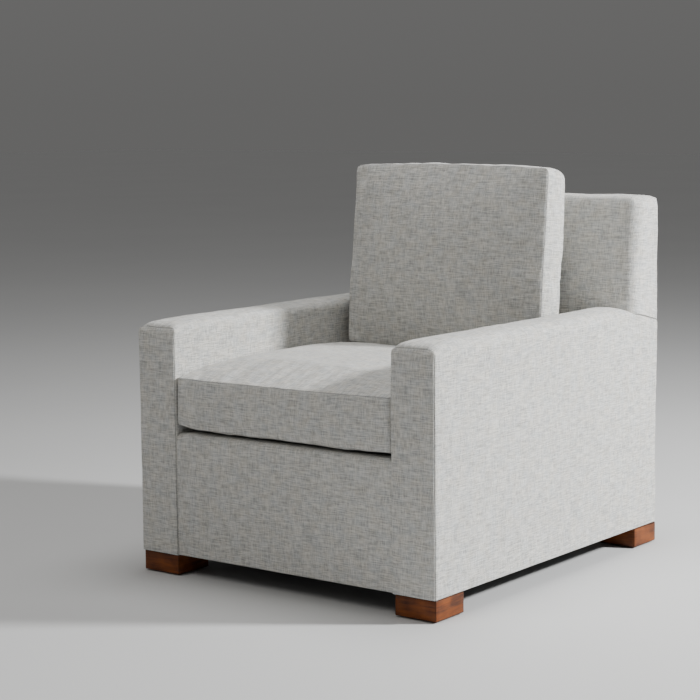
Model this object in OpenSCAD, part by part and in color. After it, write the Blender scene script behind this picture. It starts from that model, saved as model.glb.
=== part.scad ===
// Upholstered armchair with square track arms, a loose seat cushion, a loose back cushion
// and four block feet. Millimetres, +Z up, front towards -Y, origin on the floor at the centre
// of the chair's footprint. Names say left and right as seen from the front, so right is +X.

/* [Overall] */
// Overall width, over both arms
chair_w = 820; // [760:1:900]
// Overall depth, front band to outside back
chair_d = 932; // [880:1:990]
// Height of the arm tops
arm_h = 573; // [540:1:610]
// Width of one arm
arm_w = 112; // [104:1:130]
// Height of the fixed back
back_h = 838; // [800:1:880]
// Depth of the fixed back where it meets the arms
back_t = 132; // [120:1:150]
// Lean of the back, in degrees
rake = 6; // [3:0.5:9]

/* [Feet] */
// Height of a foot with its glide
foot_h = 48; // [40:1:60]
// Width of a foot
foot_w = 104; // [90:1:106]
// Depth of a foot
foot_d = 102; // [90:1:110]
// How far a foot stands in from the cover
foot_inset = 3; // [1:0.5:8]

/* [Seat] */
// Height of the deck under the seat cushion
deck_h = 322; // [310:1:340]
// Number of sinuous springs in the seat
seat_spring_count = 5; // [4:1:6]
// Number of sinuous springs in the back
back_spring_count = 4; // [3:1:5]

/* [Seat cushion] */
// Gap between the cushion's side and the arm
seat_gap = 2; // [1:0.5:6]
// Height of the top seam along the front
seat_seam = 450; // [430:1:470]
// Rise of the top above that seam
seat_crown = 34; // [20:1:45]

/* [Back cushion] */
// Width between the front seams
back_pad_w = 554; // [520:1:566]
// Height of the front panel
back_pad_h = 434; // [400:1:460]
// Depth of the boxing
back_pad_t = 154; // [120:1:154]
// Rise of the top between its seams
back_pad_crown = 12; // [6:1:20]
// Height of the lower front edge above the floor
back_pad_z = 474.5; // [474.5:0.5:480]

/* [Hidden] */

// Outer faces
side_x = chair_w / 2;
well_x = side_x - arm_w;
front_y = -chair_d / 2;
rear_y = chair_d / 2;
back_face_y = rear_y - back_t;

// Layers, outside to inside
cover_t = 2;
board_t = 3;
outer_wad = 5;
front_wad = 6;
arm_foam = 12;
arm_top_foam = 20;
back_foam = 36;
back_top_foam = 20;
hessian_t = 1.5;
dust_t = 1.5;
apart = 0.2;

// The wooden frame's own faces
wood_z = foot_h + dust_t + cover_t;
arm_out_x = side_x - cover_t - outer_wad - board_t;
arm_in_x = well_x + cover_t + arm_foam + board_t;
arm_wood_z = arm_h - cover_t - arm_top_foam;
post_y = front_y + cover_t + front_wad;
rail_y = post_y + 2.5;
frame_rear_y = rear_y - cover_t - outer_wad - board_t;
frame_top_z = back_h - cover_t - back_top_foam;
post_t = 28;
rail_t = 28;
side_rail_t = 26;
top_board_t = 20;
rail_h = 70;
low_rail_h = 60;
back_post_x = arm_out_x - post_t;
back_post_off = cover_t + back_foam + hessian_t;
arm_end_y = back_face_y + back_post_off;
pad_end_y = back_face_y + 18;
cover_z = foot_h + dust_t;
flange_w = 20;
edge_r = 14;
back_corner_r = 30;
back_edge_r = 16;

// Deck, from the top down
deck_pad_t = 20;
deck_pad_z = deck_h - cover_t - deck_pad_t;
hessian_z = deck_pad_z - hessian_t;
spring_rail_z = hessian_z - 8;
lip_d = 100;
lip_r = 12;

// Sinuous springs and their clips
wire_r = 1.9;
clip_r = 3.2;
clip_bore = 2;
clip_w = 16;
clip_base = 22;
clip_t = 1.2;
back_rail_off = back_post_off + 2 * clip_r + 0.6;
spring_bar = 26;
seat_spring_n = 29;
back_spring_n = 17;
seat_spring_run = whole_pitches(arm_end_y - rail_y - rail_t - 10, seat_spring_n);
seat_spring_y0 = (rail_y + rail_t + arm_end_y - seat_spring_run) / 2;
back_rail_low_z = 330;
back_rail_low_h = 65;
back_rail_top_h = 64;

// Feet and their fixings
glide_t = 3;
bolt_r = 4;
foot_x = side_x - foot_inset - foot_w / 2;
foot_y = -front_y - foot_inset - foot_d / 2;
block_h = 38;

// Cushions
seat_w = 2 * (well_x - seat_gap);
seat_y0 = front_y + 6;
seat_y1 = back_face_y - 30;
seat_low = 336;
wrap_t = 16;
zip_l = 500;
zip_w = 24;
zip_depth = 6;
back_pad_y = back_face_y - 197;
back_pad_swell = 30;
front_swell = 26;
side_swell = 9;
slider_l = 12;
small = 0.01;
far = 700;

// ---- Helpers ----

// Longest run of n bars, at a pitch in half millimetres, that fits a length
function whole_pitches(length, n) = floor(2 * length / (n - 1)) / 2 * (n - 1);

// Front face of the inside back at height z
function back_y(z) = back_face_y + (z - arm_h) * tan(rake);

// Height of the seam between arm and back on the outer side
function seam_z(y) = arm_h - (y - back_face_y) * 0.26;

function arc(cx, cy, r, a0, a1, n = 6) =
    [for (i = [0:n]) [cx + r * cos(a0 + (a1 - a0) * i / n), cy + r * sin(a0 + (a1 - a0) * i / n)]];

// Swell of a stuffed edge, 0 at both ends and 1 in the middle
function swell(i, n) = 1 - pow(2 * i / n - 1, 2);

// A rectangle whose four edges swell outwards by lo, right, hi and left
function crowned(a0, a1, b0, b1, lo, right, hi, left, n = 10) = concat(
    [for (i = [0:n]) [a0 + (a1 - a0) * i / n, b0 - lo * swell(i, n)]],
    [for (i = [1:n]) [a1 + right * swell(i, n), b0 + (b1 - b0) * i / n]],
    [for (i = [1:n]) [a1 - (a1 - a0) * i / n, b1 + hi * swell(i, n)]],
    [for (i = [1:n - 1]) [a0 - left * swell(i, n), b1 - (b1 - b0) * i / n]]);

// A rectangle with round top corners
function tombstone(x0, x1, z0, z1, r) =
    concat([[x0, z0], [x1, z0]], arc(x1 - r, z1 - r, r, 0, 90), arc(x0 + r, z1 - r, r, 90, 180));

// A band of the leaning back, between two depths behind its face and two heights
function lean_band(off0, off1, z0, z1) =
    [[back_y(z0) + off0, z0], [back_y(z1) + off0, z1], [back_y(z1) + off1, z1], [back_y(z0) + off1, z0]];

module box(x0, x1, y0, y1, z0, z1) {
    translate([x0, y0, z0]) cube([x1 - x0, y1 - y0, z1 - z0]);
}

// Extrudes a (Y, Z) outline along X
module along_x(x0, x1) {
    translate([x0, 0, 0]) rotate([90, 0, 90]) linear_extrude(x1 - x0) children();
}

// Extrudes an (X, Z) outline along Y
module along_y(y0, y1) {
    translate([0, y1, 0]) rotate([90, 0, 0]) linear_extrude(y1 - y0) children();
}

// Puts a right-hand piece on the left
module left() {
    mirror([1, 0, 0]) children();
}

module both() {
    children();
    left() children();
}

// ---- Wooden frame ----

module front_lower_rail() {
    color("burlywood") box(-arm_in_x, arm_in_x, rail_y, rail_y + rail_t, wood_z, wood_z + rail_h);
}

module front_spring_rail() {
    color("burlywood") box(-arm_in_x, arm_in_x, rail_y, rail_y + rail_t,
        spring_rail_z - rail_h, spring_rail_z);
}

module front_stiles() {
    color("burlywood") both() box(75, 135, rail_y, rail_y + rail_t,
        wood_z + rail_h, spring_rail_z - rail_h);
}

module rear_lower_rail() {
    color("burlywood") box(-back_post_x, back_post_x, frame_rear_y - rail_t, frame_rear_y,
        wood_z, wood_z + rail_h);
}

module rear_spring_rail() {
    color("burlywood") box(-back_post_x, back_post_x, arm_end_y, arm_end_y + rail_t,
        spring_rail_z - rail_h, spring_rail_z);
}

module lower_side_rail() {
    color("burlywood") box(arm_out_x - side_rail_t, arm_out_x, post_y + post_t, arm_end_y,
        wood_z, wood_z + low_rail_h);
}

module upper_side_rails() {
    color("burlywood") both() box(arm_in_x, arm_in_x + side_rail_t, post_y + post_t, arm_end_y,
        hessian_z - 90, hessian_z);
}

module front_post() {
    color("burlywood") box(arm_in_x, arm_out_x, post_y, post_y + post_t,
        wood_z, arm_wood_z - top_board_t);
}

// The back post's front edge leans with the back above the arm
module back_post() {
    color("burlywood") along_x(back_post_x, arm_out_x) polygon([
        [arm_end_y, wood_z], [frame_rear_y, wood_z], [frame_rear_y, frame_top_z],
        [back_y(frame_top_z) + back_post_off, frame_top_z], [arm_end_y, arm_h]]);
}

module arm_top_board() {
    color("burlywood") box(arm_in_x, arm_out_x, post_y, arm_end_y,
        arm_wood_z - top_board_t, arm_wood_z);
}

// The inside arm's cloth is pulled through under these rails
module arm_tack_rails() {
    z0 = deck_h + 18;
    z1 = z0 + 30;
    color("burlywood") both() along_x(arm_in_x, arm_in_x + 20) polygon([
        [post_y + post_t, z0], [back_y(z0) + back_rail_off, z0],
        [back_y(z1) + back_rail_off, z1], [post_y + post_t, z1]]);
}

module top_back_rail() {
    color("burlywood") along_x(-back_post_x, back_post_x)
        polygon(lean_band(back_rail_off, back_rail_off + rail_t,
            frame_top_z - back_rail_top_h, frame_top_z));
}

module lower_back_rail() {
    color("burlywood") along_x(-back_post_x, back_post_x)
        polygon(lean_band(back_rail_off, back_rail_off + rail_t,
            back_rail_low_z, back_rail_low_z + back_rail_low_h));
}

// One foot position in each quarter
module at_feet() {
    for (sx = [-1, 1]) for (sy = [-1, 1]) translate([sx * foot_x, sy * foot_y, 0]) children();
}

module foot_blocks() {
    color("tan") difference() {
        both() {
            box(arm_in_x, arm_out_x - side_rail_t, post_y + post_t, post_y + post_t + 85,
                wood_z, wood_z + block_h);
            box(arm_in_x, back_post_x, frame_rear_y - rail_t - 85, frame_rear_y - rail_t,
                wood_z, wood_z + block_h);
        }
        at_feet() {
            translate([0, 0, wood_z - 1]) cylinder(r = 5.5, h = block_h + 2, $fn = 32);
        }
    }
}

// ---- Boards under the padding ----

module arm_panels() {
    color("peru") both() {
        box(arm_out_x, arm_out_x + board_t, post_y, frame_rear_y, wood_z, seam_z(rear_y) - 1);
        box(arm_out_x, arm_out_x + board_t, post_y, back_face_y, seam_z(rear_y) - 1, arm_wood_z);
        box(arm_in_x - board_t, arm_in_x, post_y, pad_end_y, deck_pad_z, arm_wood_z);
    }
}

module front_panel() {
    color("peru") box(-arm_in_x, arm_in_x, post_y, rail_y, wood_z, spring_rail_z);
}

module back_panel() {
    color("peru") along_y(frame_rear_y, frame_rear_y + board_t)
        polygon(tombstone(-side_x + cover_t, side_x - cover_t,
            wood_z, back_h - cover_t, back_corner_r - cover_t));
}

// ---- Springs ----

// A sinuous wire of n bars from the origin along +Y
module sinuous(n, run) {
    pitch = run / (n - 1);
    for (i = [0:n - 1])
        translate([-spring_bar / 2, i * pitch, 0]) rotate([0, 90, 0])
            cylinder(r = wire_r, h = spring_bar, $fn = 24);
    for (i = [0:n - 2]) {
        turn = i % 2 == 0 ? 0 : 180;
        translate([(turn == 0 ? 1 : -1) * spring_bar / 2, (i + 0.5) * pitch, 0])
            rotate([0, 0, turn - 90]) rotate_extrude(angle = 180, $fn = 32)
                translate([pitch / 2, 0]) circle(r = wire_r, $fn = 24);
    }
}

// Clip round a spring's end bar, with its nailed tongue towards -Y and the rail's face at Z = 0
module spring_clip() {
    along_x(-clip_w / 2, clip_w / 2) difference() {
        union() {
            translate([0, clip_r]) circle(r = clip_r, $fn = 32);
            translate([-clip_base - 2, 0]) square([clip_base + 2, clip_t]);
        }
        translate([0, clip_r]) circle(r = clip_bore, $fn = 32);
    }
}

module seat_spring_places() {
    gap = 2 * arm_in_x / (seat_spring_count + 0.6);
    for (i = [0:seat_spring_count - 1])
        translate([(i - (seat_spring_count - 1) / 2) * gap, 0, 0]) children();
}

module seat_springs() {
    color("dimgray") seat_spring_places()
        translate([0, seat_spring_y0, spring_rail_z + clip_r])
            sinuous(seat_spring_n, seat_spring_run);
}

module seat_spring_clips() {
    color("silver") seat_spring_places() {
        translate([0, seat_spring_y0, spring_rail_z]) spring_clip();
        translate([0, seat_spring_y0 + seat_spring_run, spring_rail_z]) rotate([0, 0, 180]) spring_clip();
    }
}

// Straight wires across the seat springs, from side rail to side rail
module spring_tie_wires() {
    color("saddlebrown") for (y = [-190, -20, 150])
        translate([-arm_in_x, y, hessian_z - 1.2]) rotate([0, 90, 0])
            cylinder(r = 1, h = 2 * arm_in_x, $fn = 16);
}

// The plane of the back rails' front faces, with +Y up the back and +Z forwards
module on_back_rails(z) {
    translate([0, back_y(z) + back_rail_off, z]) rotate([90 - rake, 0, 0]) children();
}

back_span_z0 = back_rail_low_z + back_rail_low_h;
back_span_z1 = frame_top_z - back_rail_top_h;
back_spring_run = whole_pitches((back_span_z1 - back_span_z0 - 10) / cos(rake), back_spring_n);

module back_spring_places() {
    gap = 2 * back_post_x / (back_spring_count + 1);
    for (i = [0:back_spring_count - 1])
        translate([(i - (back_spring_count - 1) / 2) * gap, 0, 0])
            on_back_rails((back_span_z0 + back_span_z1) / 2)
                translate([0, -back_spring_run / 2, 0]) children();
}

module back_springs() {
    color("dimgray") back_spring_places() translate([0, 0, clip_r]) sinuous(back_spring_n, back_spring_run);
}

module back_spring_clips() {
    color("silver") back_spring_places() {
        spring_clip();
        translate([0, back_spring_run, 0]) rotate([0, 0, 180]) spring_clip();
    }
}

// ---- Linings and padding ----

module seat_hessian() {
    color("darkkhaki") {
        box(-arm_in_x - side_rail_t, arm_in_x + side_rail_t, post_y + post_t, arm_end_y,
            hessian_z, deck_pad_z);
        box(-arm_in_x, arm_in_x, rail_y, post_y + post_t, hessian_z, deck_pad_z);
    }
}

module back_hessian() {
    color("darkkhaki") {
        along_x(-arm_out_x, arm_out_x)
            polygon(lean_band(cover_t + back_foam + apart, back_post_off, arm_h, frame_top_z));
        along_x(-well_x, well_x)
            polygon(lean_band(cover_t + back_foam + apart, back_post_off, deck_pad_z + 5, arm_h));
    }
}

module front_edge_roll() {
    z0 = spring_rail_z + clip_t + 0.8;
    color("beige") along_x(-arm_in_x, arm_in_x) polygon(concat(
        [[rail_y, z0], [rail_y + rail_t - 2, z0], [rail_y + rail_t - 2, hessian_z]],
        arc(rail_y + 4, hessian_z - 4, 4, 90, 180)));
}

module deck_pad() {
    color("lemonchiffon") box(-well_x, well_x, front_y + lip_r, back_y(deck_pad_z) - 1,
        deck_pad_z, deck_h - cover_t);
}

// The wedge above the seam between an arm's outer side and the back's side
module seam_wedge(grow = 0) {
    along_x(arm_out_x - grow, side_x + 1) polygon([
        [back_face_y, arm_h + small - grow], [back_face_y, arm_h + 40], [rear_y + 1, arm_h + 40],
        [rear_y + 1, seam_z(rear_y + 1) - grow]]);
}

module arm_padding() {
    z0 = arm_wood_z + apart;
    r = edge_r - cover_t;
    outer_x = side_x - cover_t;
    inner_x = well_x + cover_t;
    color("lemonchiffon") {
        difference() {
            along_y(post_y, pad_end_y) polygon(tombstone(inner_x, outer_x, z0, arm_h - cover_t, r));
            seam_wedge(apart);
        }
        along_y(post_y - front_wad, post_y - apart)
            polygon(tombstone(inner_x, outer_x, wood_z, arm_h - cover_t, r));
        box(inner_x, inner_x + arm_foam, post_y, pad_end_y, deck_pad_z, arm_wood_z);
        along_x(outer_x - outer_wad, outer_x) polygon([
            [post_y, wood_z], [frame_rear_y, wood_z], [frame_rear_y, seam_z(frame_rear_y) - apart],
            [back_face_y + 82, arm_wood_z - apart], [post_y, arm_wood_z]]);
    }
}

module front_wadding() {
    color("lemonchiffon") {
        box(-well_x, well_x, post_y - front_wad, post_y, wood_z, deck_pad_z - apart);
        box(-well_x, well_x, post_y, rail_y, spring_rail_z + apart, deck_pad_z - apart);
    }
}

module back_outline(inset) {
    along_y(front_y, rear_y + 1) polygon(tombstone(-side_x + inset, side_x - inset,
        cover_z, back_h - inset, back_corner_r - inset));
}

module back_padding() {
    foam1 = cover_t + back_foam;
    top_z = back_h - cover_t;
    color("lemonchiffon") {
        intersection() {
            along_x(-side_x, side_x) polygon(lean_band(cover_t, foam1, arm_h + apart, top_z));
            back_outline(cover_t);
            along_x(-side_x, side_x) polygon(back_section(cover_t));
        }
        along_x(-well_x, well_x) polygon(lean_band(cover_t, foam1, deck_pad_z, arm_h));
        intersection() {
            along_x(-side_x, side_x) polygon([
                [back_y(frame_top_z) + foam1 + apart, frame_top_z + apart],
                [frame_rear_y, frame_top_z + apart], [frame_rear_y, top_z],
                [back_y(top_z) + foam1 + apart, top_z]]);
            back_outline(cover_t);
        }
        both() along_x(arm_out_x + apart, side_x - cover_t) polygon([
            [back_y(arm_h) + foam1 + apart, arm_h + apart],
            [back_y(frame_top_z - 12) + foam1 + apart, frame_top_z - 12],
            [frame_rear_y, frame_top_z - 12], [frame_rear_y, seam_z(frame_rear_y) + apart],
            [back_y(arm_h) + foam1 + apart, seam_z(back_y(arm_h) + foam1) + apart]]);
    }
}

module outside_back_wadding() {
    color("lemonchiffon") along_y(rear_y - cover_t - outer_wad, rear_y - cover_t)
        polygon(tombstone(-side_x + cover_t, side_x - cover_t,
            wood_z, back_h - cover_t, back_corner_r - cover_t));
}

// ---- Covers ----

module arm_cover() {
    r = edge_r - cover_t;
    color("gainsboro") {
        difference() {
            along_y(front_y + cover_t, pad_end_y) polygon(concat(
                [[well_x, deck_pad_z]], arc(well_x + edge_r, arm_h - edge_r, edge_r, 180, 90),
                arc(side_x - edge_r, arm_h - edge_r, edge_r, 90, 0),
                [[side_x, cover_z], [side_x - cover_t, cover_z]],
                arc(side_x - edge_r, arm_h - edge_r, r, 0, 90),
                arc(well_x + edge_r, arm_h - edge_r, r, 90, 180), [[well_x + cover_t, deck_pad_z]]));
            seam_wedge();
        }
        along_y(front_y, front_y + cover_t) polygon(tombstone(well_x, side_x, cover_z, arm_h, edge_r));
        along_x(side_x - cover_t, side_x) polygon([
            [pad_end_y - small, cover_z], [rear_y - cover_t, cover_z],
            [rear_y - cover_t, seam_z(rear_y - cover_t)], [pad_end_y - small, seam_z(pad_end_y)]]);
        box(side_x - cover_t - flange_w, side_x - cover_t + small, front_y + cover_t, rear_y - flange_w - 4,
            cover_z, wood_z);
        box(well_x, side_x - cover_t, front_y + cover_t - small, front_y + flange_w, cover_z, wood_z);
    }
}

// Runs up the front, over the edge roll and back onto the deck
module front_band_cover() {
    r = lip_r - cover_t;
    color("gainsboro") along_x(-well_x + small, well_x - small) polygon(concat(
        [[front_y + flange_w, cover_z], [front_y + flange_w, wood_z], [front_y + cover_t, wood_z]],
        arc(front_y + lip_r, deck_h - lip_r, r, 180, 90),
        [[front_y + lip_d, deck_h - cover_t], [front_y + lip_d, deck_h]],
        arc(front_y + lip_r, deck_h - lip_r, lip_r, 90, 180), [[front_y, cover_z]]));
}

module deck_cloth() {
    color("lightgray") box(-well_x, well_x, front_y + lip_d, back_y(deck_h) - 1, deck_h - cover_t, deck_h);
}

// Section of the fixed back above the arms, set in by inset and drawn out past its open ends
function back_section(inset, past = 0) = let (top = back_h - inset, r = back_edge_r - inset) concat(
    [[back_y(arm_h - past) + inset, arm_h - past]],
    arc(back_y(top - r) + inset + r, top - r, r, 180 - rake, 90),
    [[rear_y - cover_t + past, top], [rear_y - cover_t + past, arm_h - past]]);

module inside_back_cover() {
    color("gainsboro") {
        difference() {
            intersection() {
                along_x(-side_x, side_x) polygon(back_section(0));
                back_outline(0);
            }
            intersection() {
                along_x(-side_x, side_x) polygon(back_section(cover_t - small, 1));
                back_outline(cover_t);
            }
        }
        along_x(-well_x, well_x) polygon(lean_band(0, cover_t - 2 * small, deck_pad_z, arm_h + 1));
        both() along_x(side_x - cover_t, side_x) polygon([
            [back_face_y, arm_h + 1], [back_face_y, arm_h], [rear_y - cover_t, seam_z(rear_y - cover_t)],
            [rear_y - cover_t, arm_h + 1]]);
    }
}

module outside_back_cover() {
    color("gainsboro") {
        along_y(rear_y - cover_t, rear_y)
            polygon(tombstone(-side_x, side_x, cover_z, back_h, back_corner_r));
        box(-side_x + flange_w + 4, side_x - flange_w - 4, rear_y - flange_w, rear_y - cover_t + small,
            cover_z, wood_z);
    }
}

module dust_cover() {
    color("black") difference() {
        box(-side_x + 12, side_x - 12, front_y + 12, rear_y - 12, foot_h, cover_z);
        at_feet() translate([0, 0, foot_h - 1]) cylinder(r = bolt_r + 1, h = dust_t + 2, $fn = 32);
    }
}

// ---- Feet ----

module foot() {
    c = 2;
    w = foot_w / 2;
    d = foot_d / 2;
    color("sienna") difference() {
        translate([0, 0, glide_t]) linear_extrude(foot_h - glide_t) polygon([
            [-w + c, -d], [w - c, -d], [w, -d + c], [w, d - c],
            [w - c, d], [-w + c, d], [-w, d - c], [-w, -d + c]]);
        translate([0, 0, foot_h - 30]) cylinder(r = bolt_r, h = 31, $fn = 32);
        translate([0, 0, glide_t - 1]) cylinder(r = 2, h = 13, $fn = 24);
    }
}

module front_left_foot() {
    translate([-foot_x, -foot_y, 0]) foot();
}

module front_right_foot() {
    translate([foot_x, -foot_y, 0]) foot();
}

module rear_left_foot() {
    translate([-foot_x, foot_y, 0]) foot();
}

module rear_right_foot() {
    translate([foot_x, foot_y, 0]) foot();
}

module foot_bolts() {
    color("silver") at_feet() translate([0, 0, foot_h - 30])
        cylinder(r = bolt_r, h = 30 + wood_z - foot_h + block_h - 6, $fn = 32);
}

module foot_tee_nuts() {
    color("silver") at_feet() difference() {
        union() {
            translate([0, 0, wood_z + block_h - 12]) cylinder(r = 5.5, h = 12, $fn = 32);
            translate([0, 0, wood_z + block_h]) cylinder(r = 11, h = 1.5, $fn = 32);
        }
        translate([0, 0, wood_z + block_h - 13]) cylinder(r = bolt_r, h = 16, $fn = 32);
    }
}

module foot_glides() {
    color("dimgray") at_feet() {
        cylinder(r = 16, h = glide_t, $fn = 48);
        cylinder(r = 2, h = glide_t + 12, $fn = 24);
    }
}

// ---- Seat cushion ----

module seat_cushion_shape(t) {
    w = seat_w / 2 - t;
    intersection() {
        along_y(seat_y0 - far, seat_y1 + far)
            polygon(crowned(-w, w, seat_low - 8 + t, seat_seam + 16 - t, 5, 0, seat_crown - 16, 0));
        along_x(-far, far)
            polygon(crowned(seat_y0 + t, seat_y1 - t, seat_low + t, seat_seam - t, 13, 0, seat_crown, 6));
        translate([0, 0, seat_low - 40]) linear_extrude(far)
            polygon(crowned(-w, w, seat_y0 + t, seat_y1 - t, 6, 0, 0, 0));
    }
}

seat_zip_z = (seat_low + seat_seam) / 2;

// Puts a zip drawn along X, facing +Z, in the middle of the seat cushion's rear face
module at_seat_zip() {
    translate([0, seat_y1, seat_zip_z]) rotate([-90, 0, 0]) children();
}

module zip_groove(depth) {
    box(-zip_l / 2 - 2, zip_l / 2 + 2, -zip_w / 2, zip_w / 2, -depth, 1);
}

// Tape with its chain of teeth, flush with the bottom of the groove
module zip_chain() {
    color("gray") {
        box(-zip_l / 2, zip_l / 2, -zip_w / 2 + apart, zip_w / 2 - apart, -zip_depth, -zip_depth + 1);
        for (x = [-zip_l / 2 + 4:4:zip_l / 2 - 4])
            box(x - 1, x + 1, -2.5, 2.5, -zip_depth + 1 - small, -zip_depth + 3);
    }
}

// Rides over the teeth at the closed end of the zip
module zip_slider() {
    x = zip_l / 2 - 10 - slider_l / 2;
    color("silver") difference() {
        box(x - slider_l / 2, x + slider_l / 2, -4.5, 4.5, -zip_depth + 1.3, -zip_depth + 5);
        box(x - slider_l, x + slider_l, -2.9, 2.9, -zip_depth + 1, -zip_depth + 3.4);
    }
}

module seat_cushion_cover() {
    color("gainsboro") difference() {
        seat_cushion_shape(0);
        seat_cushion_shape(cover_t);
        at_seat_zip() zip_groove(cover_t + 1);
    }
}

module seat_cushion_wrap() {
    color("white") difference() {
        seat_cushion_shape(cover_t);
        seat_cushion_shape(cover_t + wrap_t);
        at_seat_zip() zip_groove(zip_depth);
    }
}

module seat_cushion_core() {
    color("khaki") seat_cushion_shape(cover_t + wrap_t);
}

module seat_cushion_zip() {
    at_seat_zip() zip_chain();
}

module seat_zip_slider() {
    at_seat_zip() zip_slider();
}

// ---- Back cushion ----

function signed_root(v, n) = sign(v) * pow(abs(v), 2 / n);

// Plan of the back cushion: a sewn front edge, swelling sides and round rear corners
function back_plan(t, n = 12) = let (w = back_pad_w / 2 - t, d = back_pad_t - t + back_pad_swell - 40) concat(
    [for (i = [0:n]) [-w + 2 * w * i / n, t - front_swell * swell(i, n)]],
    [for (a = [0:15:180]) [(w + side_swell) * signed_root(cos(a), 3), 40 + d * signed_root(sin(a), 3)]]);

// The leaning frame of the back cushion, with its origin on the lower front seam
module on_back_pad() {
    translate([0, back_pad_y, back_pad_z]) rotate([-rake, 0, 0]) children();
}

module back_cushion_shape(t) {
    w = back_pad_w / 2 - t;
    top = back_pad_h - t;
    on_back_pad() intersection() {
        linear_extrude(2 * far, center = true) polygon(back_plan(t));
        along_y(-far, far) polygon(crowned(-w, w, t, top, 0, side_swell, back_pad_crown, side_swell));
        along_x(-far, far) polygon(
            crowned(t, back_pad_t - t, t, top, 0, back_pad_swell, back_pad_crown, front_swell));
    }
}

// Puts a zip drawn along X, facing +Z, in the middle of the back cushion's lower face
module at_back_zip() {
    on_back_pad() translate([0, back_pad_t / 2, 0]) rotate([180, 0, 0]) children();
}

module back_cushion_cover() {
    color("gainsboro") difference() {
        back_cushion_shape(0);
        back_cushion_shape(cover_t);
        at_back_zip() zip_groove(cover_t + 1);
    }
}

module back_cushion_wrap() {
    color("white") difference() {
        back_cushion_shape(cover_t);
        back_cushion_shape(cover_t + wrap_t);
        at_back_zip() zip_groove(zip_depth);
    }
}

module back_cushion_core() {
    color("khaki") back_cushion_shape(cover_t + wrap_t);
}

module back_cushion_zip() {
    at_back_zip() zip_chain();
}

module back_zip_slider() {
    at_back_zip() zip_slider();
}

// ---- Nodes ----

front_lower_rail();
front_spring_rail();
front_stiles();
rear_lower_rail();
rear_spring_rail();
left() lower_side_rail();  // left_lower_side_rail
lower_side_rail();  // right_lower_side_rail
upper_side_rails();
left() front_post();  // left_front_post
front_post();  // right_front_post
left() back_post();  // left_back_post
back_post();  // right_back_post
left() arm_top_board();  // left_arm_top_board
arm_top_board();  // right_arm_top_board
arm_tack_rails();
top_back_rail();
lower_back_rail();
foot_blocks();
arm_panels();
front_panel();
back_panel();
seat_springs();
seat_spring_clips();
spring_tie_wires();
back_springs();
back_spring_clips();
seat_hessian();
back_hessian();
front_edge_roll();
deck_pad();
left() arm_padding();  // left_arm_padding
arm_padding();  // right_arm_padding
front_wadding();
back_padding();
outside_back_wadding();
left() arm_cover();  // left_arm_cover
arm_cover();  // right_arm_cover
front_band_cover();
deck_cloth();
inside_back_cover();
outside_back_cover();
dust_cover();
front_left_foot();
front_right_foot();
rear_left_foot();
rear_right_foot();
foot_bolts();
foot_tee_nuts();
foot_glides();
seat_cushion_cover();
seat_cushion_wrap();
seat_cushion_core();
seat_cushion_zip();
seat_zip_slider();
back_cushion_cover();
back_cushion_wrap();
back_cushion_core();
back_cushion_zip();
back_zip_slider();
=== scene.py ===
import math
import bmesh
import bpy
from mathutils import Matrix, Vector, kdtree, noise


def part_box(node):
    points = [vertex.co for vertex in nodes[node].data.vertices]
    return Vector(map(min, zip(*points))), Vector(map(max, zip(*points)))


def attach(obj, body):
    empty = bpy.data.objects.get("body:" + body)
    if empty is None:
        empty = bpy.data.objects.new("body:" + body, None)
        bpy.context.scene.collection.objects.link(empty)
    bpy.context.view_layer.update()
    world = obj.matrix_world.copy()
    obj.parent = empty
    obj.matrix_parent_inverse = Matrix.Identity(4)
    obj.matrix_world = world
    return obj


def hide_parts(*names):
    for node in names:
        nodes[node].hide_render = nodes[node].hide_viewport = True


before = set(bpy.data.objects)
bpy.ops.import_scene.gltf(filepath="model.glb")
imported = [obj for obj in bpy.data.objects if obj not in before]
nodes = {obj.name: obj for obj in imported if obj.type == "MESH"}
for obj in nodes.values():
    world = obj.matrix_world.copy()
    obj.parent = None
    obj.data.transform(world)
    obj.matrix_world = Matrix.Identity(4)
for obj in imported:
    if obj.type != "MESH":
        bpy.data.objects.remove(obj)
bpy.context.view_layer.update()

scene = bpy.context.scene


# camera, lights and floor

cameraSettings = {
    "lens": 99.8,
    "place": (2.626, -3.6345, 1.0626),
    "turn": 37.5,  # degrees from the chair's front towards its right arm
    "tilt": 7.29,  # degrees downwards
    "roll": -0.6,
}

lightSettings = {
    "key": {"from": (3.4, 1.65, 2.2), "size": 0.45, "watts": 365, "tint": (0.985, 0.995, 1.0)},
    "top": {"from": (0.1, 0.3, 3.7), "size": 2.0, "watts": 62, "tint": (1.0, 1.0, 1.0)},
    "front": {"from": (-0.9, -3.2, 3.9), "size": 2.4, "watts": 49, "tint": (1.0, 0.982, 0.945)},
    "aim": (0.0, 0.0, 0.5),
    "horizon": (0.366, 0.363, 0.357),
    "zenith": (0.62, 0.617, 0.61),
    "skyStrength": 0.36,
}


def addCamera(settings):
    data = bpy.data.cameras.new("camera")
    data.lens = settings["lens"]
    data.sensor_width = 36.0
    camera = bpy.data.objects.new("camera", data)
    scene.collection.objects.link(camera)
    turn = Matrix.Rotation(math.radians(settings["turn"]), 4, "Z")
    tilt = Matrix.Rotation(math.radians(90 - settings["tilt"]), 4, "X")
    roll = Matrix.Rotation(math.radians(settings["roll"]), 4, "Z")
    camera.matrix_world = Matrix.Translation(settings["place"]) @ turn @ tilt @ roll
    scene.camera = camera


def addLight(name, settings, aim):
    data = bpy.data.lights.new(name, "AREA")
    data.shape = "DISK"
    data.size = settings["size"]
    data.energy = settings["watts"]
    data.color = settings["tint"]
    light = bpy.data.objects.new(name, data)
    scene.collection.objects.link(light)
    light.location = settings["from"]
    light.rotation_euler = (Vector(aim) - light.location).to_track_quat("-Z", "Y").to_euler()


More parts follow.
